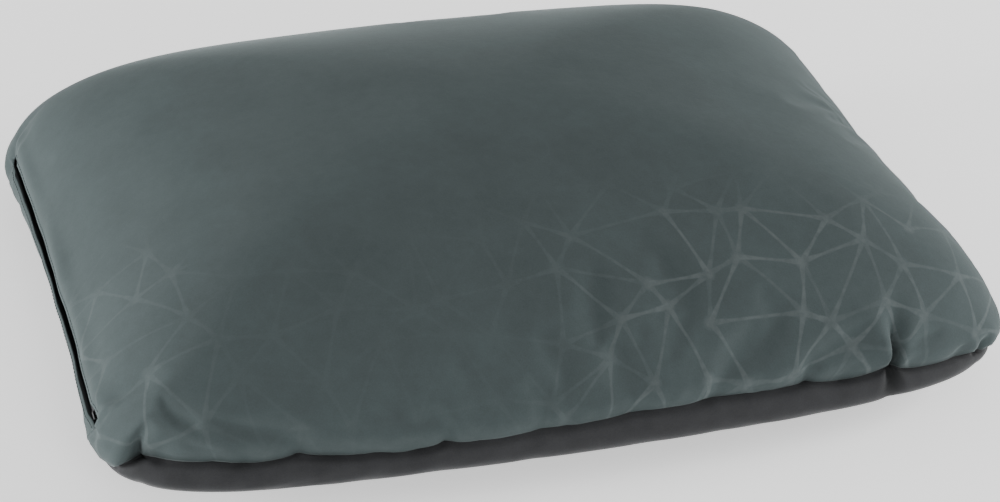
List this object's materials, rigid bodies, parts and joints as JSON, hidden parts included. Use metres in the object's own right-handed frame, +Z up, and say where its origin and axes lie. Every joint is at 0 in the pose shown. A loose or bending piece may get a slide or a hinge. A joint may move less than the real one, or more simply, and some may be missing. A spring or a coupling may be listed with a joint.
{
  "type": "camp pillow",
  "caption": "Rectangular foam-core camp pillow with a crowned, brushed-knit top in grey-green, a faint line print, a charcoal base and a zip on one short end.",
  "frame": {"origin": "middle of the flat base, at the level the pillow rests on", "axes": "+Z up, +X along the long side away from the zip, -Y towards the front long side"},
  "size_m": [0.5312, 0.412, 0.14],
  "materials": {
    "brushed_knit": "matte",
    "base_fabric": "matte",
    "binding_tape": "matte",
    "zip_tape": "matte",
    "zip_coil": "satin",
    "zip_metal": "satin",
    "liner_fabric": "matte",
    "label_satin": "satin",
    "foam": "matte"
  },
  "bodies": {
    "pillow": {"top_cover": "brushed_knit", "base_cover": "base_fabric", "zip_facing": "brushed_knit", "seam_binding": "binding_tape", "zip_tape_upper": "zip_tape", "zip_tape_lower": "zip_tape", "zip_coil_upper": "zip_coil", "zip_coil_lower": "zip_coil", "zip_stop_front": "zip_coil", "zip_stop_back": "zip_coil", "care_label": "label_satin", "liner_upper": "liner_fabric", "liner_lower": "liner_fabric", "foam_core": "foam"},
    "slider": {"zip_slider": "zip_metal"},
    "pull": {"zip_pull": "zip_metal"}
  },
  "joints": [
    {"name": "zip_slide", "type": "slide", "parent": "pillow", "child": "slider", "axis": [0, 1, 0], "range_m": [0, 0.276], "deforming": ["zip_coil_upper", "zip_coil_lower"]},
    {"name": "pull_swing", "type": "hinge", "parent": "slider", "child": "pull", "pos_m": [-0.26253, -0.1385, 0.04186], "axis": [0.2691, 0, 0.9631], "range_deg": [0, 165]}
  ]
}
